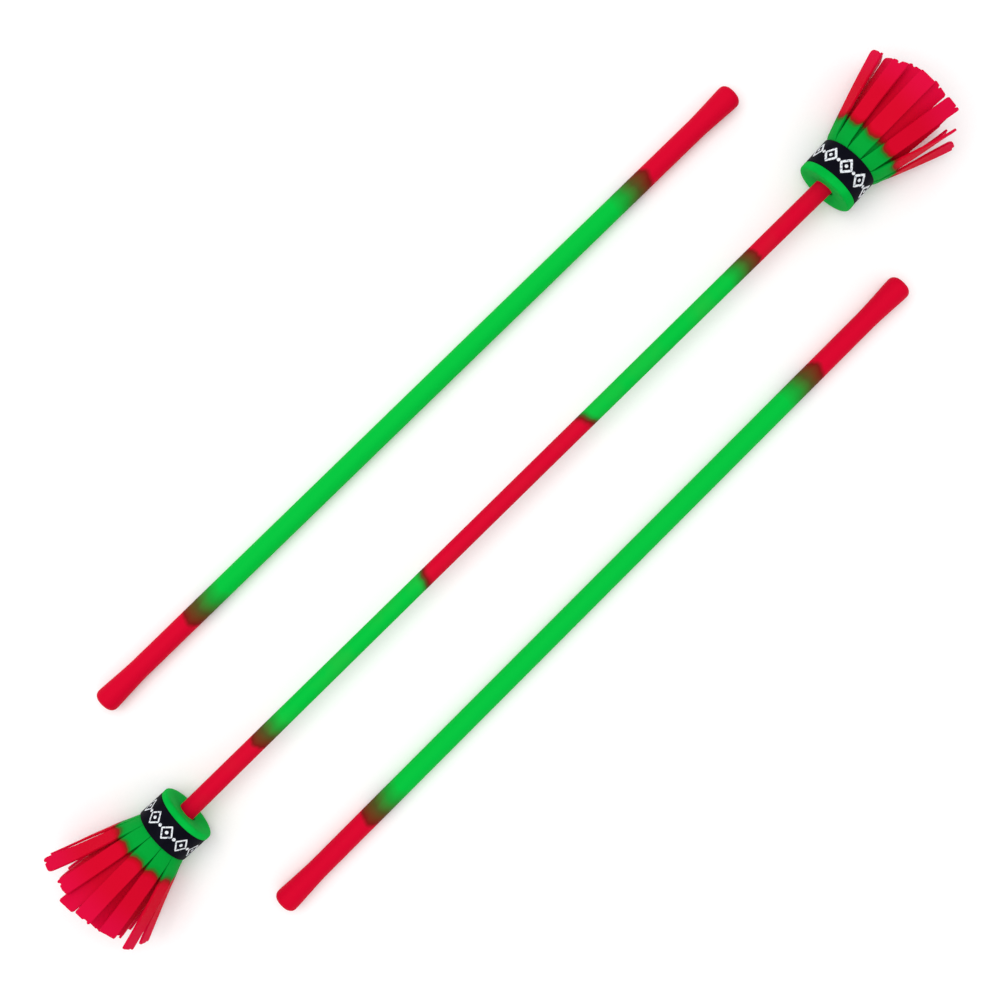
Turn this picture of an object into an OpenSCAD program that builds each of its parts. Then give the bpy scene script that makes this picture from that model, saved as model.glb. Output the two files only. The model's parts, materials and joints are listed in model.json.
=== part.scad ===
// Flower-stick set: a centre stick with a rubber flower at each end, and two hand sticks.
// X runs along the sticks, Y across them, and Z is up from the surface that they lie on.

/* [Centre stick] */
// From the middle of the centre stick to the inner face of each flower's flange
stick_reach = 229.5; // [180:0.5:300]
// Diameter of the core rod
rod_d = 6; // [4:0.5:7]
// Diameter of the grip sleeve at its waist, in the middle
sleeve_waist_d = 9; // [8.5:0.1:11]
// Diameter of the grip sleeve where it meets a flower
sleeve_end_d = 9.8; // [8.5:0.1:12]
// How deep the sleeve and the hand sticks' sleeves sit in what closes them
sleeve_seat = 2.5; // [1:0.5:5]

/* [Flower body] */
// Radius of the neck that the fringe is wound on
neck_r = 12.2; // [10:0.1:18]
// Thickness of the flange next to the stick
flange_t = 4.4; // [4:0.1:12]
// How far the flange stands out past the band
flange_lip = 0.1; // [0:0.05:2]
// Rounding of the flange's rim, on the side of the stick
flange_round = 1.4; // [0.5:0.1:2.5]
// Rounding of the flange's rim, on the side of the band
flange_back_round = 0.8; // [0.3:0.1:2]
// Radius of the shallow dish in the flange's inner face
dish_r = 10.5; // [8:0.1:11]
// Depth of the dish
dish_depth = 0.9; // [0.2:0.1:1.5]
// Width of the band that clamps the fringe
band_w = 15; // [8:0.5:25]
// Thickness of the band
band_t = 0.8; // [0.5:0.1:2]
// How far the core rod's end shows past the neck
rod_tail = 2; // [1:0.5:6]

/* [Fringe] */
// Thickness of a strip
strip_t = 1.3; // [0.8:0.05:2]
// Gap between the two turns of strips, where they come nearest
turn_gap = 0.35; // [0.3:0.05:1]
// Strips in the front flower's outer turn
front_count = 11; // [8:1:12]
// Strips in the back flower's outer turn
back_count = 12; // [8:1:12]
// Strips in the inner turn of each flower
inner_count = 10; // [8:1:10]
// Length of a strip, on average
strip_len = 51; // [30:0.5:70]
// How far a strip's length may differ from the average
strip_len_spread = 1.5; // [0:0.1:4]
// Width of a strip, once it is clear of its neighbours
strip_w = 9.6; // [7:0.1:12]
// How far from its root a strip reaches that width
widen_len = 12; // [8:0.5:16]
// How far a strip's tip is cut on the slant
tip_slant = 2; // [0:0.1:4]
// Gap between neighbouring strips at their roots
slit = 0.45; // [0.2:0.05:1]
// How far the outer strips lean out, on average, in degrees
outer_splay = 20.8; // [10:0.1:25]
// How far the inner strips lean out, on average, in degrees
inner_splay = 17.5; // [5:0.1:20]
// How far a strip's lean may differ from the average, in degrees
splay_spread = 1.2; // [0:0.1:2]
// How far the front flower's strips are turned round the stick, in degrees
front_turn = 6; // [0:1:30]
// How far the back flower's strips are turned round the stick, in degrees
back_turn = 0; // [0:1:30]
// How far the inner turn stands out past the outer turn
turn_step = 1.5; // [1:0.1:3]

/* [Hand sticks] */
// Length of a hand stick over its tips
hand_len = 460; // [300:1:600]
// Diameter of a hand stick's grip sleeve
hand_d = 11.1; // [10:0.1:16]
// Diameter of a hand stick's core rod
hand_rod_d = 7; // [5:0.5:8]
// Largest diameter of a tip
tip_d = 13.6; // [13:0.1:20]
// Length of a tip, from where it starts to flare
tip_len = 27; // [22:0.5:40]
// From the centre stick to the left hand stick
left_offset = 69.9; // [60:0.1:120]
// From the centre stick to the right hand stick
right_offset = 67.3; // [60:0.1:120]
// How far the left hand stick lies to the front of the middle
left_shift = 4; // [-20:0.5:20]
// How far the right hand stick lies to the front of the middle
right_shift = -2.5; // [-20:0.5:20]
// How far the left hand stick is turned from the centre stick, in degrees
left_turn = -0.3; // [-2:0.1:2]
// How far the right hand stick is turned from the centre stick, in degrees
right_turn = 0.6; // [-2:0.1:2]

/* [Hidden] */
$fn = 64;
hinge_gap = 0.1;                      // between a collar's end and a strip's root
bead_r = strip_t * 0.45;              // the rounded root that a strip turns on
bead_set_in = 0.1;                    // from a strip's edge to the end of its rounded root
strip_gap = 0.05;                     // between a collar's face and a strip's face
floor_gap = 0.1;                      // between the lowest strips and the surface
golden = 137.5;                       // degrees between one strip's spread and the next's
under_angle = 34;                     // outer strips this near in azimuth lie over an inner one

// The widest that a strip can be at radius r and stay a slit's width from its neighbours
counts = [[front_count, inner_count], [back_count, inner_count]];
function room_at(f, turn, r) = let (half = 180 / counts[f][turn])
    2 * (r - strip_t / 2) * tan(half) - slit / cos(half);

// Radii of the flower, from the neck out. The two collars, the uncut edges of the fringe, are
// alike, and thick enough for the outer strips to pass over the inner strips' corners
inner_root_r = neck_r + 2 * strip_gap + strip_t / 2;
inner_corner_r = norm([inner_root_r + strip_t / 2, room_at(0, 1, inner_root_r) / 2]);
outer_root_r = inner_corner_r + turn_gap + strip_t / 2;
outer_collar_r = outer_root_r + strip_t / 2 + strip_gap;
inner_collar_r = (neck_r + outer_collar_r) / 2;
band_r = outer_collar_r + band_t;
flange_r = band_r + flange_lip;
axis_z = flange_r;                    // the flanges stand on the surface

// Places along a flower, from the middle of the centre stick
neck_x = stick_reach + flange_t;
band_end = neck_x + band_w;
inner_end = band_end + turn_step;
rod_end = inner_end + rod_tail;

// Where the strips' hinges lie, for the outer and the inner turn
root_r = [outer_root_r, inner_root_r];
hinge_x = [band_end, inner_end] + [1, 1] * (hinge_gap + strip_t / 2);
turned = [front_turn, back_turn];

hand_offset = [left_offset, -right_offset];
hand_shift = [left_shift, right_shift];
hand_turn = [left_turn, right_turn];
hand_tip_r = tip_d / 2;
hand_z = hand_tip_r;                  // the hand sticks lie on their tips
tip_x = hand_len / 2 - tip_len;       // where a tip starts
nose = tip_d / 4;                     // radius of a tip's rounded end
rod_share = 2 / 3;                    // how much of a tip the core rod fills

LETTERS = ["a", "b"];
SIDES = ["left", "right"];
TURNS = ["outer", "inner"];
function two_digits(i) = str(i < 9 ? "0" : "", i + 1);
function flower_name(f, piece) = str("flower_", LETTERS[f], "_", piece);
function strip_name(f, turn, i) = flower_name(f, str(TURNS[turn], "_strip_", two_digits(i)));
function hand_name(s, piece) = str("hand_stick_", SIDES[s], "_", piece);
FLOWER_PIECES = ["flange", "inner_collar", "outer_collar", "band"];
HAND_PIECES = ["core_rod", "grip_sleeve", "tips"];

// A strip's place round the stick, in degrees from straight up; the inner turn is staggered
function strip_azimuth(f, turn, i) = turned[f] + (i + turn / 2) * 360 / counts[f][turn];
// A number from -1 to 1 for each strip, which doesn't repeat from one strip to the next
function spread(f, turn, i) = sin(golden * (i + 1) + 71 * turn + 40 * f);
function strip_length(f, turn, i) = strip_len + strip_len_spread * spread(f, turn, i);

// The lean at which an outer strip's lowest corner would touch the surface
function floor_lean(f, i) = let (
        down = -cos(strip_azimuth(f, 0, i)),
        across = abs(sin(strip_azimuth(f, 0, i))),
        room = axis_z - floor_gap - across * strip_w / 2,
        longest = strip_len + strip_len_spread
    ) down < 0.1 ? 90
    : asin(min(1, max(0, (room / down - root_r[0] - strip_t / 2) / longest)));
function outer_lean(f, i) = min(outer_splay + splay_spread * spread(f, 0, i + 3), floor_lean(f, i));
// An inner strip leans out no further than the outer ones that it lies under
function apart(a, b) = acos(cos(a - b));
function inner_lean(f, i) = min(concat(
    [inner_splay + splay_spread * spread(f, 1, i + 3)],
    [for (j = [0:counts[f][0] - 1])
        if (apart(strip_azimuth(f, 0, j), strip_azimuth(f, 1, i)) < under_angle) outer_lean(f, j)]
));
function strip_lean(f, turn, i) = turn == 0 ? outer_lean(f, i) : inner_lean(f, i);

// Puts what lies along Z on the centre stick's axis
module on_axis() {
    translate([0, 0, axis_z]) rotate([0, 90, 0]) children();
}

// Puts a flower's pieces at the front end, or turned half round to the back end
module at_flower(f) {
    rotate([0, 0, 180 * f]) on_axis() children();
}

// A ring about Z between two radii and two heights
module ring(r_in, r_out, z0, z1) {
    translate([0, 0, z0]) difference() {
        cylinder(r = r_out, h = z1 - z0);
        translate([0, 0, -1]) cylinder(r = r_in, h = z1 - z0 + 2);
    }
}

module core_rod() {
    color("ivory") on_axis() translate([0, 0, -rod_end]) cylinder(d = rod_d, h = 2 * rod_end);
}

// Two-colour silicone, waisted by a long curve
module grip_sleeve() {
    steps = 12;
    reach = stick_reach + sleeve_seat;
    function half(i) = reach * i / steps;
    function radius(x) = (sleeve_waist_d + (sleeve_end_d - sleeve_waist_d) * pow(x / reach, 2)) / 2;
    outside = [for (i = [-steps:steps]) [radius(half(i)), half(i)]];
    color("limegreen") on_axis() rotate_extrude()
        polygon(concat(outside, [[rod_d / 2, reach], [rod_d / 2, -reach]]));
}

// The rounded flange, with the neck that the fringe is wound on
module flower_flange(f) {
    corner = [for (a = [0:15:90]) [
        flange_r - flange_round + flange_round * sin(a),
        stick_reach + flange_round - flange_round * cos(a)
    ]];
    back = [for (a = [0:15:90]) [
        flange_r - flange_back_round + flange_back_round * cos(a),
        neck_x - flange_back_round + flange_back_round * sin(a)
    ]];
    color("green") at_flower(f) difference() {
        rotate_extrude() polygon(concat([[0, stick_reach]], corner, back, [
            [neck_r, neck_x],
            [neck_r, inner_end],
            [0, inner_end]
        ]));
        translate([0, 0, stick_reach - 1])
            cylinder(r1 = dish_r + 1, r2 = dish_r - dish_depth, h = 1 + dish_depth);
        translate([0, 0, stick_reach - 1]) cylinder(d = sleeve_end_d, h = 1 + sleeve_seat);
        translate([0, 0, stick_reach]) cylinder(d = rod_d, h = inner_end);
    }
}

module inner_collar(f) {
    color("green") at_flower(f) ring(neck_r, inner_collar_r, neck_x, inner_end);
}

module outer_collar(f) {
    color("green") at_flower(f) ring(inner_collar_r, outer_collar_r, neck_x, band_end);
}

module band(f) {
    color("black") at_flower(f) ring(outer_collar_r, band_r, neck_x, band_end);
}

// A strip lies flat along Z from its hinge, its width along Y, and turns about the hinge to lean out
module strip(f, turn, i) {
    lean = strip_lean(f, turn, i);
    root_w = room_at(f, turn, root_r[turn]);
    w = min(strip_w, room_at(f, turn, root_r[turn] + widen_len * sin(lean)));
    long = strip_length(f, turn, i);
    slant = tip_slant * spread(f, turn, i + 5);
    rotate([0, 0, 180 - strip_azimuth(f, turn, i)])
        translate([root_r[turn], 0, hinge_x[turn]])
            rotate([0, lean, 0]) {
                translate([strip_t / 2, 0, 0]) rotate([0, -90, 0]) linear_extrude(strip_t)
                    polygon([
                        [0, -root_w / 2],
                        [widen_len, -w / 2],
                        [long - max(0, slant), -w / 2],
                        [long + min(0, slant), w / 2],
                        [widen_len, w / 2],
                        [0, root_w / 2]
                    ]);
                rotate([90, 0, 0]) cylinder(r = bead_r, h = root_w - 2 * bead_set_in, center = true);
            }
}

module fringe_strip(f, turn, i) {
    color(turn == 0 ? "crimson" : "firebrick") at_flower(f) strip(f, turn, i);
}

// Puts what lies along Z on a hand stick's axis
module on_hand_axis(s) {
    translate([hand_shift[s], hand_offset[s], hand_z]) rotate([0, 90, hand_turn[s]]) children();
}

module hand_core_rod(s) {
    reach = tip_x + tip_len * rod_share;
    color("ivory") on_hand_axis(s) translate([0, 0, -reach]) cylinder(d = hand_rod_d, h = 2 * reach);
}

module hand_grip_sleeve(s) {
    color("limegreen") on_hand_axis(s) ring(hand_rod_d / 2, hand_d / 2, -tip_x, tip_x);
}

// A rubber tip that flares out to a rounded end
module hand_tip() {
    swell = tip_len - nose;
    rise = hand_tip_r - hand_d / 2;
    flare = [for (i = [0:8]) [hand_d / 2 + rise * pow(i / 8, 1.3), swell * i / 8]];
    end = [for (a = [15:15:90]) [
        hand_tip_r - nose + nose * cos(a),
        swell + nose * sin(a)
    ]];
    difference() {
        rotate_extrude() polygon(concat([[0, 0]], flare, end, [[0, tip_len]]));
        translate([0, 0, -1]) cylinder(d = hand_rod_d, h = tip_len * rod_share + 1);
    }
}

// A tip at each end of a hand stick
module hand_tips(s) {
    color("crimson") on_hand_axis(s) for (turn = [0, 180])
        rotate([turn, 0, 0]) translate([0, 0, tip_x]) hand_tip();
}

core_rod();
grip_sleeve();
for (f = [0:1]) {
    flower_flange(f);
    inner_collar(f);
    outer_collar(f);
    band(f);
    for (turn = [0:1]) for (i = [0:counts[f][turn] - 1])
        fringe_strip(f, turn, i);
}
for (s = [0:1]) {
    hand_core_rod(s);
    hand_grip_sleeve(s);
    hand_tips(s);
}
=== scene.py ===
import json
import math

import bpy
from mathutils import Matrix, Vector


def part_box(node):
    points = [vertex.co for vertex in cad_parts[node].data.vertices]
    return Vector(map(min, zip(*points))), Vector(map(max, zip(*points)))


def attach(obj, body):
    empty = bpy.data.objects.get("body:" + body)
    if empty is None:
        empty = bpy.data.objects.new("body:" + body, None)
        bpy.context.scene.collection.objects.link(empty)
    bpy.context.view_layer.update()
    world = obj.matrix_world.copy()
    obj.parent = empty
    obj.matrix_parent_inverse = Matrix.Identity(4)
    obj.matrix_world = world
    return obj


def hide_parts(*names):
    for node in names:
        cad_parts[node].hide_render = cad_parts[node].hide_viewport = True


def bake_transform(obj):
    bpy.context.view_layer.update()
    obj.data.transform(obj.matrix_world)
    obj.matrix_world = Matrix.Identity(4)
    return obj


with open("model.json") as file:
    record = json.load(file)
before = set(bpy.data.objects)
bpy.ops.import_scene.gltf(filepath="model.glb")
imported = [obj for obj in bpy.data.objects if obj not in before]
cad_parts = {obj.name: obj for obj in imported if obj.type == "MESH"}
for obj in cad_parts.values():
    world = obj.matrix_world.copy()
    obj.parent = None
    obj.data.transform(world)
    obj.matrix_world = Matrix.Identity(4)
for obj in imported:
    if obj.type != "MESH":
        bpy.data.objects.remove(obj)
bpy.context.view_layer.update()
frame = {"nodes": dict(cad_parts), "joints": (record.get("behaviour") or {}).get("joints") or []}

MM = 0.001

# ---------------------------------------------------------------------------------------------
# Core rod: a pultruded fibreglass rod down the whole centre stick, which the sleeve is slid on
# and both flowers are glued to. Only its two ends show, sawn and lightly chamfered, inside the
# fringes. The hand sticks' rods are the same stuff and are wholly covered.
# ---------------------------------------------------------------------------------------------


class Wire:
    """A socket of a node tree. Arithmetic with it adds the Math nodes that work the result out."""

    def __init__(self, tree, socket=None):
        self.tree = tree
        self.socket = socket

    def node(self, kind, settings=None, sockets=None, out=0):
        """Adds a node: its settings first, then the values or links of its sockets."""
        added = self.tree.nodes.new(kind)
        for name, value in (settings or {}).items():
            if name == "stops":
                ramp = added.color_ramp.elements
                while len(ramp) < len(value):
                    ramp.new(1)
                for stop, (place, tone) in zip(ramp, value):
                    stop.position, stop.color = place, tone
            else:
                setattr(added, name, value)
        for name, value in (sockets or {}).items():
            if isinstance(value, Wire):
                self.tree.links.new(value.socket, added.inputs[name])
            else:
                added.inputs[name].default_value = value
        return Wire(self.tree, added.outputs[out] if added.outputs else None)

    def other(self, out):
        """Another output of the same node."""
        return Wire(self.tree, self.socket.node.outputs[out])

    def math(self, operation, *others):
        """What a Math node makes of this value and the others."""
        return self.node("ShaderNodeMath", {"operation": operation}, dict(enumerate((self, *others))))

    def __add__(self, value):
        return self.math("ADD", value)

    def __radd__(self, value):
        return self.math("ADD", value)

    def __sub__(self, value):
        return self.math("SUBTRACT", value)

    def __rsub__(self, value):
        return self.node("ShaderNodeMath", {"operation": "SUBTRACT"}, {0: value, 1: self})

    def __mul__(self, value):
        return self.math("MULTIPLY", value)

    def __rmul__(self, value):
        return self.math("MULTIPLY", value)

    def __truediv__(self, value):
        return self.math("DIVIDE", value)

    def __rtruediv__(self, value):
        return self.node("ShaderNodeMath", {"operation": "DIVIDE"}, {0: value, 1: self})

    def __pow__(self, value):
        return self.math("POWER", value)

    def __abs__(self):
        return self.math("ABSOLUTE")

    def rise(self, start, end):
        """0 before start, 1 after end, and a smooth climb in between."""
        return self.node("ShaderNodeMapRange", {"interpolation_type": "SMOOTHSTEP"},
                         {0: self, 1: start, 2: end})

    def ramp(self, *stops):
        """The colour at this value, between stops of (place, colour)."""
        return self.node("ShaderNodeValToRGB", {"stops": stops}, {"Fac": self})

    def blend(self, low, high):
        """The colour low where this value is 0, and high where it is 1."""
        return self.node("ShaderNodeMix", {"data_type": "RGBA"}, {0: self, 6: low, 7: high}, 2)

    def grain(self, scale, detail=2.0, stretch=(1, 1, 1)):
        """Noise from 0 to 1 on this vector: scale patches to a metre, longer along an axis by stretch."""
        spread = self.node("ShaderNodeVectorMath", {"operation": "DIVIDE"}, {0: self, 1: stretch})
        return self.node("ShaderNodeTexNoise", None, {"Vector": spread, "Scale": scale, "Detail": detail})


def shade(red, green, blue):
    """A colour given in 0 to 255, as the linear colour that a shader takes."""
    parts = [part / 255 for part in (red, green, blue)]
    return (*[p / 12.92 if p < 0.04045 else ((p + 0.055) / 1.055) ** 2.4 for p in parts], 1)


def new_finish(name):
    """An empty material, and a Wire to start its nodes from."""
    finish = bpy.data.materials.new(name)
    finish.use_nodes = True
    finish.node_tree.nodes.clear()
    return finish, Wire(finish.node_tree)


def close_finish(colour, roughness, height, depth, **fixed):
    """Ends a material: its colour, roughness and relief vary, and the rest is fixed on the shader."""
    normal = colour.node("ShaderNodeBump", None, {"Distance": depth, "Height": height})
    varying = {"Base Color": colour, "Roughness": roughness, "Normal": normal}
    fixed = {name.replace("_", " "): value for name, value in fixed.items()}
    shader = colour.node("ShaderNodeBsdfPrincipled", None, {**fixed, **varying})
    colour.node("ShaderNodeOutputMaterial", None, {"Surface": shader})


def new_tree(name, inputs):
    """A Geometry Nodes tree with those named inputs, and a Wire for each of them."""
    tree = bpy.data.node_groups.new(name, "GeometryNodeTree")
    tree.interface.new_socket("Piece", in_out="OUTPUT", socket_type="NodeSocketGeometry")
    for label, kind in inputs.items():
        tree.interface.new_socket(label, in_out="INPUT", socket_type="NodeSocket" + kind)
    given = tree.nodes.new("NodeGroupInput")
    return tree, {label: Wire(tree, given.outputs[label]) for label in inputs}


def close_tree(shape, finish):
    """Ends a Geometry Nodes tree: one real mesh, in one material."""
    whole = shape.node("GeometryNodeRealizeInstances", None, {"Geometry": shape})
    coated = shape.node("GeometryNodeSetMaterial", None, {"Geometry": whole, "Material": finish})
    shape.node("NodeGroupOutput", None, {0: coated})


SHARP_EDGE = math.radians(35)


def grown(name, tree, sizes, outline=None, trims=()):
    """A piece that the tree makes from those sizes, as a plain mesh. Trims are modifiers after it."""
    piece = bpy.data.objects.new(name, outline or bpy.data.meshes.new(name))
    bpy.context.collection.objects.link(piece)
    maker = piece.modifiers.new(tree.name, "NODES")
    maker.node_group = tree
    for item in tree.interface.items_tree:
        if item.in_out == "INPUT" and item.name in sizes:
            maker[item.identifier] = sizes[item.name]
    for kind, settings in trims:
        trim = piece.modifiers.new(kind, kind)
        for setting, value in settings.items():
            setattr(trim, setting, value)
    ready = piece.evaluated_get(bpy.context.evaluated_depsgraph_get())
    mesh = bpy.data.meshes.new_from_object(ready)
    piece.modifiers.clear()
    piece.data = mesh
    mesh.name = name
    mesh.shade_smooth()
    mesh.set_sharp_from_angle(angle=SHARP_EDGE)
    return piece


# A turned piece: a closed outline of (along, radius, rounding) points, swept round the X axis. The
# outline is drawn from a small hub circle outwards, because that circle is what it is swept on.
HUB_R = 1 * MM
WELD = 0.001 * MM
ROUNDING_STEPS = 5
turning_tree, given = new_tree("Turned piece", {
    "Outline": "Geometry", "Facets": "Int", "Centre": "Vector", "Heading": "Float", "Pivot": "Vector",
    "Finish": "Material"})
rounding = given["Outline"].node("GeometryNodeInputNamedAttribute", {"data_type": "FLOAT"},
                                 {"Name": "rounding"})
outline = rounding.node("GeometryNodeMeshToCurve", None, {"Mesh": given["Outline"]})
outline = outline.node("GeometryNodeFilletCurve", {"mode": "POLY"},
                       {"Curve": outline, "Count": ROUNDING_STEPS, "Radius": rounding})
hub = outline.node("GeometryNodeCurvePrimitiveCircle", None,
                   {"Resolution": given["Facets"], "Radius": HUB_R})
swept = outline.node("GeometryNodeCurveToMesh", None, {"Curve": hub, "Profile Curve": outline})
swept = swept.node("GeometryNodeTransform", None, {
    "Geometry": swept, "Translation": given["Centre"], "Rotation": (0, -math.pi / 2, 0)})
swept = swept.node("GeometryNodeMergeByDistance", None, {"Geometry": swept, "Distance": WELD})
headed = swept.node("ShaderNodeVectorRotate", {"rotation_type": "Z_AXIS"}, {
    "Vector": swept.node("GeometryNodeInputPosition"), "Center": given["Pivot"],
    "Angle": given["Heading"]})
swept = swept.node("GeometryNodeSetPosition", None, {"Geometry": swept, "Position": headed})
close_tree(swept, given["Finish"])


def turned(name, outline, centre, finish, facets=96, heading=0.0, pivot=None):
    """A piece turned round a line through centre: along X, or turned by heading about pivot."""
    mesh = bpy.data.meshes.new(name)
    points = [(radius - HUB_R, along, 0) for along, radius, _ in outline]
    mesh.from_pydata(points, [(i, (i + 1) % len(points)) for i in range(len(points))], [])
    mesh.attributes.new("rounding", "FLOAT", "POINT").data.foreach_set(
        "value", [rounding for _, _, rounding in outline])
    sizes = {"Facets": facets, "Centre": centre, "Heading": heading, "Pivot": pivot or centre,
             "Finish": finish}
    return grown(name, turning_tree, sizes, mesh)


def middle(node):
    """The middle of a node's box."""
    low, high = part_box(node)
    return (Vector(low) + Vector(high)) / 2


def half_length(node):
    """Half of a node's reach along the sticks."""
    low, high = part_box(node)
    return (high[0] - low[0]) / 2


def radius_of(node):
    """The radius of a round node that lies along the sticks."""
    low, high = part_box(node)
    return (high[2] - low[2]) / 2


fibreglass, start = new_finish("Pultruded fibreglass")
place = start.node("ShaderNodeTexCoord", out="Object")
strands = place.grain(3000, 3, stretch=(60, 1, 1))
colour = strands.rise(0.35, 0.7).blend(shade(214, 205, 170), shade(236, 230, 204))
close_finish(colour, 0.35 + 0.2 * strands, strands, 0.02 * MM, Specular_IOR_Level=0.4)

axis = middle("core_rod")
rod_r = radius_of("core_rod")
rod_reach = half_length("core_rod")
rod_chamfer = 0.5 * MM
core_rod = turned("centre_core_rod", [
    (-rod_reach, 0, 0), (-rod_reach, rod_r - rod_chamfer, 0), (rod_chamfer - rod_reach, rod_r, 0),
    (rod_reach - rod_chamfer, rod_r, 0), (rod_reach, rod_r - rod_chamfer, 0), (rod_reach, 0, 0),
], axis, fibreglass, facets=48)
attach(core_rod, "centre_stick")
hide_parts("core_rod")

for node in ("hand_stick_left_core_rod", "hand_stick_right_core_rod"):
    frame["nodes"][node].data.materials.clear()
    frame["nodes"][node].data.materials.append(fibreglass)

# ---------------------------------------------------------------------------------------------
# Grip sleeve of the centre stick: a soft silicone tube, slightly waisted, in two colours that
# run into each other where they were joined before curing. It is pressed over the rod and its
# ends sit in the flanges.
# ---------------------------------------------------------------------------------------------

RED = shade(205, 2, 42)
GREEN = shade(0, 184, 58)
BROWN = shade(120, 18, 16)
OLIVE = shade(76, 76, 30)
LEAF = shade(28, 146, 46)
DULLED = shade(110, 70, 50)
GREEN_TO_RED = ((0.0, GREEN), (0.3, LEAF), (0.6, OLIVE), (0.9, BROWN), (1.0, RED))
RED_TO_GREEN = ((0.0, RED), (0.35, BROWN), (0.6, OLIVE), (0.8, LEAF), (1.0, GREEN))


def silicone_relief(place):
    """The matt skin of moulded silicone: a fine tooth, and faint lines drawn along the tube."""
    tooth = place.grain(2600, 3)
    drawn = place.grain(1500, 2, stretch=(80, 1, 1))
    return tooth * 0.7 + drawn * 0.3


def handled(place):
    """How rubbed the skin is: duller and shinier patches as broad as a finger."""
    return place.grain(45, 3)


def marbled(place):
    """How far the two colours have run at a place, from -0.5 to 0.5."""
    return place.grain(180, 2, stretch=(2.5, 1, 1)) - 0.5


grip, start = new_finish("Two-colour silicone of the centre stick")
place = start.node("ShaderNodeTexCoord", out="Object")
across = place.node("ShaderNodeSeparateXYZ", None, {0: place})
along, side, up = across.other("X"), across.other("Y"), across.other("Z")
sleeve_r = radius_of("grip_sleeve")
side, up = side / sleeve_r, (up - axis.z) / sleeve_r
run = marbled(place)
# Going out from the middle, red turns green in a short slanting seam, and then green fades to red
seam_start, seam_end = 54 * MM, 64 * MM
seam_slant, seam_run = 2.2 * MM, 4 * MM
seam = abs(along) + side * seam_slant + run * seam_run
seam = seam.rise(seam_start, seam_end).ramp(*RED_TO_GREEN)
fade_start, fade_length = 158 * MM, 22 * MM
fade_slant, fade_run = 3 * MM, 5 * MM
fade = (abs(along) - up * fade_slant + run * fade_run - fade_start) / fade_length
mid_green = 105 * MM
colour = abs(along).rise(mid_green, mid_green + 1 * MM).blend(seam, fade.ramp(*GREEN_TO_RED))
rubbed = handled(place)
colour = (rubbed.rise(0.4, 0.8) * 0.08).blend(colour, DULLED)
close_finish(colour, 0.5 + 0.15 * rubbed, silicone_relief(place), 0.03 * MM, Specular_IOR_Level=0.03)

sleeve_reach = half_length("grip_sleeve")
waist_r = 4.5 * MM
WAIST_STEPS = 24
waist = []
for step in range(-WAIST_STEPS, WAIST_STEPS + 1):
    share = step / WAIST_STEPS
    waist.append((share * sleeve_reach, waist_r + (sleeve_r - waist_r) * share ** 2, 0))
grip_sleeve = turned("centre_grip_sleeve", [
    (-sleeve_reach, rod_r, 0), *waist, (sleeve_reach, rod_r, 0),
], axis, grip, facets=64)
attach(grip_sleeve, "centre_stick")
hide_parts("grip_sleeve")

# ---------------------------------------------------------------------------------------------
# Flanges: the green moulded rubber body of each flower. A thick rounded disc faces the stick,
# with a shallow dish that the sleeve's end sits in, and a neck behind it carries the fringe.
# ---------------------------------------------------------------------------------------------

flange_green, start = new_finish("Moulded green rubber")
place = start.node("ShaderNodeTexCoord", out="Object")
bloom = place.grain(90, 3)
tooth = place.grain(2200, 3)
colour = bloom.rise(0.3, 0.75).blend(shade(0, 166, 56), shade(6, 180, 64))
close_finish(colour, 0.42 + 0.15 * bloom, tooth, 0.03 * MM, Specular_IOR_Level=0.01)

dish_depth = 0.9 * MM
dish_r = 14 * MM
neck_r = 12.2 * MM
seat = 2.5 * MM
hole_rounding, dish_rounding = 0.3 * MM, 2 * MM
rim_rounding, back_rounding = 1.4 * MM, 0.6 * MM
# Neither flower sits quite square on its stick, and flower b's disc starts a little further out
ASKEW = {"a": math.radians(3), "b": math.radians(-2)}
SET_BACK = {"a": 0.0, "b": 1 * MM}


def ends(outline, direction):
    """An outline drawn for the front flower, or turned round for the back one."""
    return [(direction * along, radius, rounding) for along, radius, rounding in outline]


def span_of(node):
    """From where to where a flower's node reaches, along the stick from its middle."""
    distances = [abs(corner[0]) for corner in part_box(node)]
    return min(distances), max(distances)


FLOWERS = (("a", 1), ("b", -1))
for letter, direction in FLOWERS:
    node = f"flower_{letter}_flange"
    reach, neck_end = span_of(node)
    reach += SET_BACK[letter]
    band_start, _ = span_of(f"flower_{letter}_band")
    flange_r = radius_of(node)
    pivot = Vector((direction * neck_end, axis.y, axis.z))
    flange = turned(node + "_rubber", ends([
        (neck_end, rod_r, 0),
        (reach + seat, rod_r, 0),
        (reach + seat, sleeve_r, 0),
        (reach + dish_depth, sleeve_r, hole_rounding),
        (reach, dish_r, dish_rounding),
        (reach, flange_r, rim_rounding),
        (band_start, flange_r, back_rounding),
        (band_start, neck_r, 0),
        (neck_end, neck_r, back_rounding),
    ], direction), axis, flange_green, heading=ASKEW[letter], pivot=pivot)
    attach(flange, "centre_stick")
    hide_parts(node)

# ---------------------------------------------------------------------------------------------
# Bands: a black printed rubber band round each flower, which holds the two turns of the fringe
# on the neck. A row of plain diamonds, with dots in them and between them, is printed round it.
# ---------------------------------------------------------------------------------------------

band_black, start = new_finish("Black band rubber")
place = start.node("ShaderNodeTexCoord", out="Object")
scuff = place.grain(160, 4)
tooth = place.grain(1800, 2, stretch=(1, 3, 3))
colour = scuff.rise(0.35, 0.8).blend(shade(7, 7, 17), shade(15, 14, 26))
close_finish(colour, 0.45 + 0.2 * scuff, tooth, 0.03 * MM, Specular_IOR_Level=0.03)

ink, start = new_finish("White printing ink")
place = start.node("ShaderNodeTexCoord", out="Object")
wear = place.grain(900, 4)
colour = wear.rise(0.32, 0.5).blend(shade(120, 128, 142), shade(226, 230, 234))
close_finish(colour, 0.5 + 0.2 * wear, wear, 0.02 * MM, Specular_IOR_Level=0.08)

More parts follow.
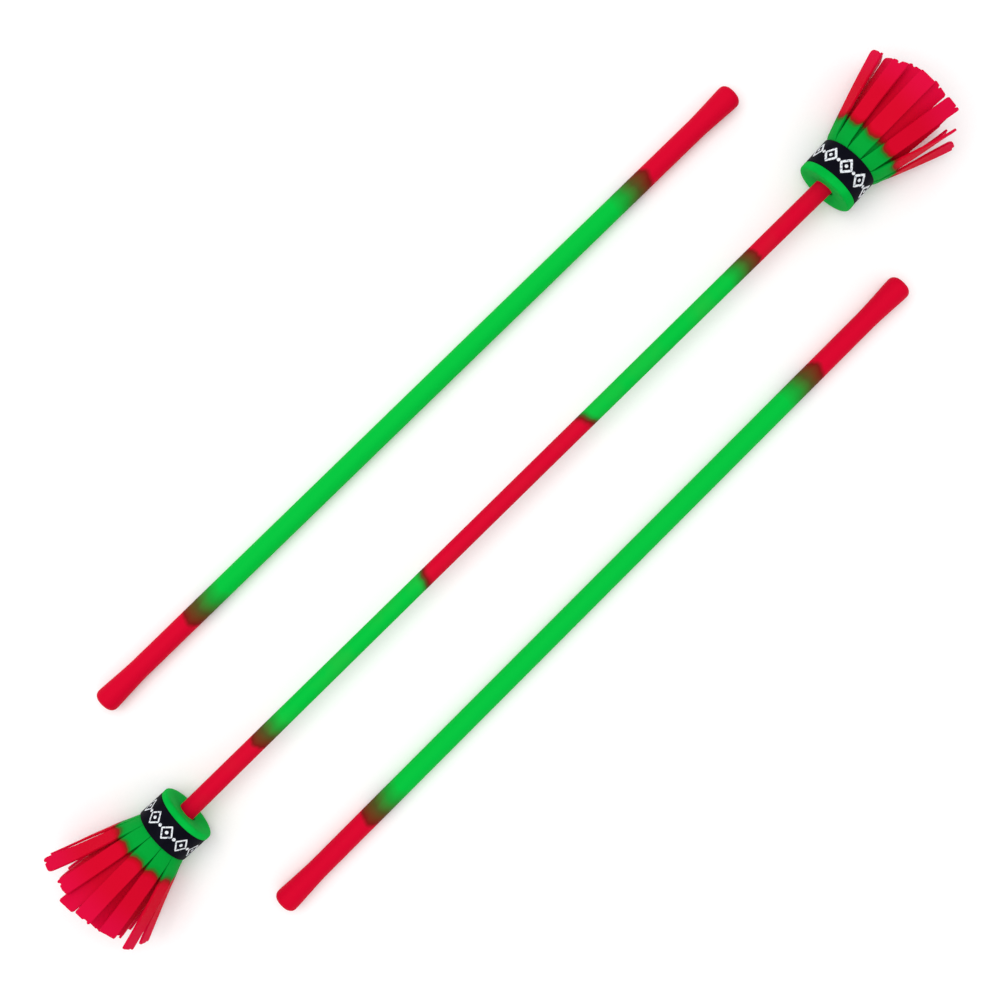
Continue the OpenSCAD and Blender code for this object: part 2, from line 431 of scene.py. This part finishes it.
# The print: a row of diamond frames and dots, drawn flat and then wrapped round the band. A dot is
# a ring drawn so tight that its line closes in the middle.
DOT_RING = 0.51
print_tree, given = new_tree("Printed row", {
    "Repeats": "Int", "Radius": "Float", "Middle": "Vector", "Stroke": "Float", "Tall": "Float",
    "Wide": "Float", "Dot": "Float", "Proud": "Float", "Heading": "Float", "Pivot": "Vector",
    "Finish": "Material"})
pitch = given["Radius"] * math.tau / given["Repeats"]
nib = pitch.node("GeometryNodeCurvePrimitiveQuadrilateral", {"mode": "RECTANGLE"},
                 {"Width": given["Stroke"], "Height": given["Proud"]})
diamond = {f"Point {number}": pitch.node("ShaderNodeCombineXYZ", None, {socket: given[size] * half})
           for number, socket, size, half in ((1, 0, "Tall", 0.5), (2, 1, "Wide", 0.5),
                                              (3, 0, "Tall", -0.5), (4, 1, "Wide", -0.5))}
frame_line = pitch.node("GeometryNodeCurvePrimitiveQuadrilateral", {"mode": "POINTS"}, diamond)
frame_line = pitch.node("GeometryNodeSubdivideCurve", None, {"Curve": frame_line, "Cuts": 7})
frame_mark = pitch.node("GeometryNodeCurveToMesh", None, {"Curve": frame_line, "Profile Curve": nib})
dot_nib = pitch.node("GeometryNodeCurvePrimitiveQuadrilateral", {"mode": "RECTANGLE"},
                     {"Width": given["Dot"], "Height": given["Proud"]})
dot_line = pitch.node("GeometryNodeCurvePrimitiveCircle", None,
                      {"Resolution": 20, "Radius": given["Dot"] * DOT_RING})
dot_mark = pitch.node("GeometryNodeCurveToMesh", None, {"Curve": dot_line, "Profile Curve": dot_nib})
row = []
for mark, shift in ((frame_mark, 0), (dot_mark, 0), (dot_mark, 0.5)):
    spots = pitch.node("GeometryNodeMeshLine", None, {
        "Count": given["Repeats"],
        "Start Location": pitch.node("ShaderNodeCombineXYZ", None, {1: pitch * shift}),
        "Offset": pitch.node("ShaderNodeCombineXYZ", None, {1: pitch})})
    row.append(pitch.node("GeometryNodeInstanceOnPoints", None, {"Points": spots, "Instance": mark}))
flat_row = pitch.node("GeometryNodeJoinGeometry")
for marks in reversed(row):
    pitch.tree.links.new(marks.socket, flat_row.socket.node.inputs[0])
flat_row = pitch.node("GeometryNodeRealizeInstances", None, {"Geometry": flat_row})
spot = pitch.node("ShaderNodeSeparateXYZ", None, {0: pitch.node("GeometryNodeInputPosition")})
angle = spot.other("Y") / given["Radius"]
wrap_r = given["Radius"] + spot.other("Z")
wrapped = pitch.node("ShaderNodeCombineXYZ", None, {
    0: spot.other("X"), 1: wrap_r * angle.math("SINE"), 2: wrap_r * angle.math("COSINE")})
wrapped = pitch.node("ShaderNodeVectorMath", {"operation": "ADD"}, {0: wrapped, 1: given["Middle"]})
wrapped = pitch.node("ShaderNodeVectorRotate", {"rotation_type": "Z_AXIS"}, {
    "Vector": wrapped, "Center": given["Pivot"], "Angle": given["Heading"]})
close_tree(pitch.node("GeometryNodeSetPosition", None, {"Geometry": flat_row, "Position": wrapped}),
           given["Finish"])

band_t = 0.8 * MM
band_rounding = 0.3 * MM
# Flower b's print is in finer lines
PRINT_STROKE = {"a": 1.2 * MM, "b": 0.8 * MM}
for letter, direction in FLOWERS:
    node = f"flower_{letter}_band"
    start_x, end_x = span_of(node)
    band_r = radius_of(node)
    pivot = Vector((direction * end_x, axis.y, axis.z))
    band = turned(f"flower_{letter}_band_rubber", ends([
        (start_x, band_r - band_t, 0),
        (start_x, band_r, band_rounding),
        (end_x, band_r, band_rounding),
        (end_x, band_r - band_t, 0),
    ], direction), axis, band_black, heading=ASKEW[letter], pivot=pivot)
    printed = grown(f"flower_{letter}_band_print", print_tree, {
        "Repeats": 10, "Radius": band_r, "Stroke": PRINT_STROKE[letter],
        "Tall": 8 * MM, "Wide": 7 * MM, "Dot": 0.9 * MM, "Proud": 0.06 * MM,
        "Middle": Vector((direction * (start_x + end_x) / 2, axis.y, axis.z)),
        "Heading": ASKEW[letter], "Pivot": pivot, "Finish": ink})
    for piece in (band, printed):
        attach(piece, "centre_stick")
        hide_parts(node)

# ---------------------------------------------------------------------------------------------
# Collars: the uncut edges of the fringe, two turns of rubber sheet wound on the neck under the
# band. The sheet is green on this side, and its end faces show between the strips' roots.
# ---------------------------------------------------------------------------------------------

sheet_green, start = new_finish("Green edge of the fringe sheet")
place = start.node("ShaderNodeTexCoord", out="Object")
bloom = place.grain(120, 3)
tooth = place.grain(2400, 3)
colour = bloom.rise(0.3, 0.75).blend(shade(2, 150, 44), shade(12, 166, 54))
close_finish(colour, 0.5 + 0.15 * bloom, tooth, 0.03 * MM, Specular_IOR_Level=0.03)

collar_rounding = 0.2 * MM
for letter, direction in FLOWERS:
    inner_r = neck_r
    for turn in ("inner", "outer"):
        node = f"flower_{letter}_{turn}_collar"
        start_x, end_x = span_of(node)
        outer_r = radius_of(node)
        collar = turned(node + "_sheet", ends([
            (start_x, inner_r, 0),
            (start_x, outer_r, 0),
            (end_x, outer_r, collar_rounding),
            (end_x, inner_r, collar_rounding),
        ], direction), axis, sheet_green)
        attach(collar, "centre_stick")
        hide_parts(node)
        inner_r = outer_r

# ---------------------------------------------------------------------------------------------
# Fringe: strips of soft rubber sheet, eleven or twelve in each flower's outer turn and ten under
# them. They are slit from the sheet by hand, so their lengths, tips and lean all differ. Each is
# curved round the collar at its root, then flattens and leans out.
# ---------------------------------------------------------------------------------------------

strip_finish, start = new_finish("Fringe rubber, green at the root and red beyond")
down = start.node("ShaderNodeAttribute", {"attribute_name": "down"}, out="Fac")
wide = start.node("ShaderNodeAttribute", {"attribute_name": "wide"}, out="Fac")
flat = start.node("ShaderNodeAttribute", {"attribute_name": "flat"}, out="Vector")
run = flat.grain(260, 3, stretch=(1.6, 1, 1)) - 0.5
# Green at the root fades to red, a little further out at the strip's edges, and is pinker at the tip
green_length, fade_length = 8 * MM, 8 * MM
scallop, fade_run = 1.8 * MM, 2.4 * MM
front = down - abs(wide) ** 2.5 * scallop + run * fade_run
colour = ((front - green_length) / fade_length).ramp(
    (0.0, shade(0, 156, 52)), (0.25, shade(0, 148, 46)), (0.45, shade(50, 104, 30)),
    (0.58, shade(134, 26, 18)), (0.8, shade(192, 2, 28)), (1.0, shade(204, 3, 38)))
pink_start, pink_end = 30 * MM, 50 * MM
colour = down.rise(pink_start, pink_end).blend(colour, shade(212, 6, 58))
bloom = flat.grain(140, 3)
tooth = flat.grain(1800, 3) * 0.5 + flat.grain(900, 2, stretch=(30, 1, 1)) * 0.5
close_finish(colour, 0.5 + 0.18 * bloom, tooth, 0.04 * MM, Specular_IOR_Level=0.03)

strip_tree, given = new_tree("Fringe strip", {
    "Length": "Float", "Root width": "Float", "Slit width": "Float", "Tip width": "Float",
    "Slit start": "Float", "Root place": "Float", "Root radius": "Float", "Axis height": "Float",
    "Lean": "Float", "Turned": "Float", "Half turn": "Float", "Bend length": "Float",
    "Shoulder": "Float", "Bow": "Float", "Curl": "Float", "Twist": "Float", "Sway": "Float",
    "Slant": "Float", "Corner": "Float", "Notch": "Float", "Notch place": "Float",
    "Notch width": "Float", "Floor": "Float", "Seed": "Float", "Finish": "Material"})
sheet = given["Length"].node("GeometryNodeMeshGrid", None,
                             {"Size X": 1, "Size Y": 2, "Vertices X": 49, "Vertices Y": 21})
position = sheet.node("GeometryNodeInputPosition")
spot = position.node("ShaderNodeSeparateXYZ", None, {0: position})
length_share = spot.other("X") + 0.5
across = spot.other("Y")
# How far the strip reaches at this place across it, which is -1 at one edge and 1 at the other.
# Its corners are rounded off, and the tip is slanting and notched.
tip_half = given["Tip width"] / 2
corner_share = (abs(across) * tip_half - tip_half + given["Corner"]) / given["Corner"]
corner_share = corner_share.math("MAXIMUM", 0)
corner_cut = given["Corner"] * (1 - (1.0001 - corner_share ** 2).math("SQRT"))
from_notch = abs(across - given["Notch place"])
notch_share = 1 - from_notch.rise(given["Notch width"] * 0.55, given["Notch width"])
reach = given["Length"] + given["Slant"] * across / 2 - corner_cut - given["Notch"] * notch_share
out = length_share * reach
# The middle line leaves the collar along the axis and bends to its lean. Shoulder lifts it just
# past the root, Bow swells its middle, Curl turns its end out, and a ripple makes it less even.
sine, cosine = given["Lean"].math("SINE"), given["Lean"].math("COSINE")
bend_left = (1 - out / given["Bend length"]).math("MAXIMUM", 0)
share = out / given["Length"]
wave = (share * math.pi).math("SINE")
ripple = position.node("ShaderNodeTexNoise", {"noise_dimensions": "4D"}, {
    "Vector": position.node("ShaderNodeCombineXYZ", None, {0: out, 1: across * 2 * MM}),
    "W": given["Seed"], "Scale": 60.0, "Detail": 1.0}) - 0.5
drift = ((sine / cosine) * given["Bend length"] / 3 * (share - 1 + bend_left ** 3)
         + given["Shoulder"] * out.rise(-1 * MM, 4 * MM) * (1 - 1.7 * share)
         + given["Bow"] * wave + given["Curl"] * share ** 3 + ripple * share * 0.5 * MM)
# Across, the strip is curved round the collar at the root, flat further out, and twisted and
# pulled aside towards the tip. It is narrower at the root, where its neighbours leave less room.
flat_from = 16 * MM
strip_w = given["Slit width"] + (given["Tip width"] - given["Slit width"]) * share
narrowed = (given["Slit width"] - given["Root width"]) * (1 - out.rise(0.0, given["Slit start"]))
arc = across * (strip_w - narrowed) / 2
bend = (1 - out.rise(0.0, flat_from)) / given["Root radius"]
aside = arc * (1 - (bend * arc) ** 2 / 6)
dip = bend * arc ** 2 / -2
twist = given["Twist"] * share.rise(0.0, 1.0)
twist_sine, twist_cosine = twist.math("SINE"), twist.math("COSINE")
aside, dip = aside * twist_cosine - dip * twist_sine, aside * twist_sine + dip * twist_cosine
aside = aside + given["Sway"] * share ** 2
lift = drift + dip
forward = given["Root place"] + out * cosine - lift * sine
outward = given["Root radius"] + out * sine + lift * cosine
placed = position.node("ShaderNodeCombineXYZ", None, {0: forward, 1: aside, 2: outward})
placed = placed.node("ShaderNodeVectorRotate", {"rotation_type": "X_AXIS"},
                     {"Vector": placed, "Angle": 0 - given["Turned"]})
placed = placed.node("ShaderNodeVectorRotate", {"rotation_type": "Z_AXIS"},
                     {"Vector": placed, "Angle": given["Half turn"]})
spot = placed.node("ShaderNodeSeparateXYZ", None, {0: placed})
# A strip that reaches the surface lies on it
soft_landing = 0.4 * MM
high = (spot.other("Z") + given["Axis height"]).math("SMOOTH_MAX", given["Floor"], soft_landing)
placed = placed.node("ShaderNodeCombineXYZ", None, {0: spot.other("X"), 1: spot.other("Y"), 2: high})
seeded = out.node("ShaderNodeCombineXYZ", None, {0: out, 1: arc, 2: given["Seed"]})
for label, kind, value in (
        ("down", "FLOAT", out), ("wide", "FLOAT", across), ("flat", "FLOAT_VECTOR", seeded)):
    sheet = sheet.node("GeometryNodeStoreNamedAttribute", {"data_type": kind},
                       {"Geometry": sheet, "Name": label, "Value": value})
strip = sheet.node("GeometryNodeSetPosition", None, {"Geometry": sheet, "Position": placed})
close_tree(strip, given["Finish"])

strip_t = 1.3 * MM
TRIMS = (
    ("SOLIDIFY", {"thickness": strip_t, "offset": 0, "use_even_offset": False}),
    ("BEVEL", {"width": 0.2 * MM, "segments": 2, "limit_method": "ANGLE",
               "angle_limit": math.radians(50)}),
)
joints = {joint["child"]: joint for joint in frame["joints"]}

# Strips that lie unlike their neighbours: pulled aside, twisted, curled or cut another way. A
# length here is a difference, and the other sizes take the place of the strip's own.
UNLIKE = {
    "flower_a_outer_strip_02": {"Sway": -2 * MM},
    "flower_a_outer_strip_03": {"Length": -2.5 * MM, "Corner": 2.6 * MM, "Twist": math.radians(11)},
    "flower_a_outer_strip_09": {"Length": -3 * MM, "Twist": math.radians(-22), "Corner": 3 * MM,
                                "Slant": -3 * MM},
    "flower_a_outer_strip_10": {"Length": -1.5 * MM, "Twist": math.radians(31), "Curl": -0.5 * MM,
                                "Sway": 0.5 * MM},
    "flower_a_inner_strip_02": {"Length": -2 * MM},
    "flower_a_inner_strip_08": {"Length": -7 * MM, "Curl": -2.5 * MM},
    "flower_a_inner_strip_09": {"Sway": 5.5 * MM, "Curl": -1 * MM},
    "flower_b_outer_strip_03": {"Length": -1 * MM, "Twist": math.radians(-6), "Sway": -1.8 * MM},
    "flower_b_outer_strip_04": {"Length": -0.5 * MM, "Twist": math.radians(14), "Corner": 1.2 * MM},
    "flower_b_outer_strip_11": {"Twist": math.radians(-15), "Curl": 2 * MM, "Corner": 2.4 * MM},
    "flower_b_inner_strip_02": {"Length": -5 * MM, "Sway": -6 * MM, "Curl": -1 * MM},
    "flower_b_inner_strip_09": {"Sway": 6 * MM, "Curl": -1 * MM},
}


def uneven(seed, kind):
    """A number from -1 to 1 for one strip and one kind of unevenness."""
    return math.sin(seed * 12.9898 + kind * 78.233) * 43758.5453 % 2 - 1


def marks_of(node):
    """Every vertex of a node, as the frame holds it."""
    return [vertex.co for vertex in frame["nodes"][node].data.vertices]


SLIT_WIDTH = {"outer": 8.6 * MM, "inner": 8 * MM}
SLIT_START = {"a": 4.5 * MM, "b": 7 * MM}
SHOULDER = {"a": 1.4 * MM, "b": 0.3 * MM}
# The height at which a strip comes to lie: the inner turn's strips lie on the outer turn's
RESTING = {"outer": 0.5 * strip_t + 0.1 * MM, "inner": 1.6 * strip_t + 0.1 * MM}
root_gap = 0.12 * MM
root_set_in = 0.95 * MM
tip_spare = 0.6 * MM
bend_reach = 9 * MM
free_lean = math.radians(14)
seed = 0
for letter, direction in FLOWERS:
    for turn in ("outer", "inner"):
        strips = sum(name.startswith(f"flower_{letter}_{turn}_strip") for name in frame["nodes"])
        for number in range(1, strips + 1):
            seed += 1
            node = f"flower_{letter}_{turn}_strip_{number:02d}"
            hinge = Vector(joints[node]["pos_m"])
            hinge_line = Vector(joints[node]["axis"]).normalized()
            outwards = (hinge - axis) * Vector((0, 1, 1))
            root_r = outwards.length
            turned_by = math.atan2(direction * outwards.y, outwards.z)
            # The four corners of the tip are the marks that are furthest from the hinge
            corners = {tuple(round(part, 6) for part in mark) for mark in marks_of(node)}
            corners = sorted((Vector(corner) for corner in corners), key=lambda p: (p - hinge).length)
            to_tip = sum(corners[-4:], Vector()) / 4 - hinge
            places = [(corner - hinge).dot(hinge_line) for corner in corners]
            lean = math.acos(max(-1, min(1, direction * to_tip.x / to_tip.length)))
            # A strip that the surface holds down lies plainer than one that leans out freely
            free = min(1, lean / free_lean)
            to_side = math.sin(turned_by) * direction
            sizes = {
                "Length": to_tip.length + tip_spare,
                "Root width": math.tau * root_r / strips - root_gap,
                "Slit width": SLIT_WIDTH[turn],
                "Tip width": max(places) - min(places),
                "Slit start": SLIT_START[letter],
                "Root place": abs(hinge.x) - root_set_in,
                "Root radius": root_r,
                "Axis height": axis.z,
                "Lean": lean,
                "Turned": turned_by,
                "Half turn": 0.0 if direction == 1 else math.pi,
                "Bend length": 3 * MM,
                "Shoulder": free * SHOULDER[letter],
                "Bow": free * (0.1 + 0.3 * uneven(seed, 1)) * MM,
                "Curl": free * (0.5 * uneven(seed, 2) - 0.6 * to_side) * MM,
                "Twist": free * math.radians(7) * uneven(seed, 3),
                "Sway": free * 1.2 * MM * uneven(seed, 4),
                "Slant": 1.6 * MM * uneven(seed, 5),
                "Corner": (1.2 + 0.6 * uneven(seed, 6)) * MM,
                "Notch": (0.7 + 0.7 * uneven(seed, 7)) * MM,
                "Notch place": 0.7 * uneven(seed, 8),
                "Notch width": 0.25 + 0.12 * uneven(seed, 9),
                "Floor": RESTING[turn],
                "Seed": float(seed),
                "Finish": strip_finish,
            }
            for label, value in UNLIKE.get(node, {}).items():
                sizes[label] = sizes[label] + value if label == "Length" else value
            strip = grown(node + "_rubber", strip_tree, sizes, trims=TRIMS)
            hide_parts(node)
            hinge + to_tip.normalized() * bend_reach
            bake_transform(strip)

# ---------------------------------------------------------------------------------------------
# Hand sticks: a rod in a plain silicone sleeve, green with red towards the ends, and a solid
# rubber tip glued over each end, which flares so that it doesn't slip from the hand.
# ---------------------------------------------------------------------------------------------

fade_start, fade_length = 139 * MM, 27 * MM
fade_slant, fade_run = 3.5 * MM, 5 * MM
FLARE_STEPS = 8
nose = 3.4 * MM
nose_set_back = 0.5 * MM
end_rounding = 2 * MM
END_FLAT = 0.35
for side_name in ("left", "right"):
    body = f"hand_stick_{side_name}"
    centre = middle(body + "_grip_sleeve")
    hand_r = radius_of(body + "_grip_sleeve")
    grip_reach = half_length(body + "_grip_sleeve")
    hand_reach = half_length(body + "_tips")
    tip_r = radius_of(body + "_tips")
    pointing = sum(((mark - centre) * math.copysign(1, mark.x - centre.x)
                    for mark in marks_of(body + "_core_rod")), Vector())
    heading = math.atan2(pointing.y, pointing.x)

    finish, start = new_finish(f"Two-colour silicone of the {side_name} hand stick")
    place = start.node("ShaderNodeTexCoord", out="Object")
    place = place.node("ShaderNodeVectorMath", {"operation": "SUBTRACT"}, {0: place, 1: centre})
    place = place.node("ShaderNodeVectorRotate", {"rotation_type": "Z_AXIS"},
                       {"Vector": place, "Angle": -heading})
    across = place.node("ShaderNodeSeparateXYZ", None, {0: place})
    along, up = across.other("X"), across.other("Z") / hand_r
    run = marbled(place)
    fade = (abs(along) - up * fade_slant + run * fade_run - fade_start) / fade_length
    colour = fade.ramp(*GREEN_TO_RED)
    rubbed = handled(place)
    close_finish(colour, 0.5 + 0.15 * rubbed, silicone_relief(place), 0.03 * MM, Specular_IOR_Level=0.03)

    core_r = radius_of(body + "_core_rod")
    sleeve = turned(body + "_sleeve", [
        (-grip_reach, core_r, 0), (-grip_reach, hand_r, 0),
        (grip_reach, hand_r, 0), (grip_reach, core_r, 0),
    ], centre, finish, facets=64, heading=heading)
    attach(sleeve, body)
    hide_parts(body + "_grip_sleeve")

    core_reach = half_length(body + "_core_rod")
    flare = []
    for step in range(FLARE_STEPS):
        share = step / FLARE_STEPS
        flare.append((grip_reach + (hand_reach - nose - grip_reach) * share,
                      hand_r + (tip_r - hand_r) * share ** 1.3, 0))
    dome = [(hand_reach - nose_set_back, tip_r, nose), (hand_reach, tip_r * END_FLAT, end_rounding),
            (hand_reach, 0, 0)]
    for end_name, direction in (("front", 1), ("back", -1)):
        tip = turned(f"{body}_{end_name}_tip", ends([
            (core_reach, 0, 0), (core_reach, core_r, 0), (grip_reach, core_r, 0), *flare, *dome,
        ], direction), centre, finish, facets=64, heading=heading)
        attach(tip, body)
        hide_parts(body + "_tips")

# ---------------------------------------------------------------------------------------------
# Surface, light and camera: a plain white table under broad soft light, seen from straight
# above with the sticks lying corner to corner.
# ---------------------------------------------------------------------------------------------

paper, start = new_finish("White table")
place = start.node("ShaderNodeTexCoord", out="Object")
fibre = place.grain(700, 3)
colour = fibre.blend(shade(249, 249, 249), shade(253, 253, 253))
close_finish(colour, 0.8 + 0.1 * fibre, fibre, 0.01 * MM, Specular_IOR_Level=0.1)
half = 3.0
top = bpy.data.meshes.new("table")
top.from_pydata([(-half, -half, 0), (half, -half, 0), (half, half, 0), (-half, half, 0)],
                [], [(0, 1, 2, 3)])
top.materials.append(paper)
table = bpy.data.objects.new("table", top)
bpy.context.collection.objects.link(table)

world = bpy.data.worlds.new("Studio")
bpy.context.scene.world = world
world.use_nodes = True
world.node_tree.nodes["Background"].inputs["Color"].default_value = (1, 1, 1, 1)
world.node_tree.nodes["Background"].inputs["Strength"].default_value = 0.86

# One broad soft light, which points at the middle of the set
light = bpy.data.lights.new("Key light", "AREA")
light.size, light.energy = 1.3, 11
lamp = bpy.data.objects.new("Key light", light)
bpy.context.collection.objects.link(lamp)
lamp.location = (-0.15, 0.35, 1.6)
lamp.rotation_euler = (axis - lamp.location).to_track_quat("-Z", "Y").to_euler()

VIEW_HEIGHT = 0.8
VIEW_WIDTH = 0.5179
VIEW_TURN = math.radians(-44.45)
LEFT_OF_MIDDLE = 3.1 * MM
BELOW_MIDDLE = 0.56 * MM
camera = bpy.data.cameras.new("Camera")
camera.angle = 2 * math.atan(VIEW_WIDTH / 2 / VIEW_HEIGHT)
camera.clip_start, camera.clip_end = 0.01, 20
eye = bpy.data.objects.new("Camera", camera)
bpy.context.collection.objects.link(eye)
right = Vector((math.cos(VIEW_TURN), math.sin(VIEW_TURN), 0))
above = Vector((-math.sin(VIEW_TURN), math.cos(VIEW_TURN), 0))
eye.location = Vector((0, 0, axis.z + VIEW_HEIGHT)) - LEFT_OF_MIDDLE * right - BELOW_MIDDLE * above
eye.rotation_euler = (0, 0, VIEW_TURN)
bpy.context.scene.camera = eye
bpy.context.scene.view_settings.view_transform = "Standard"
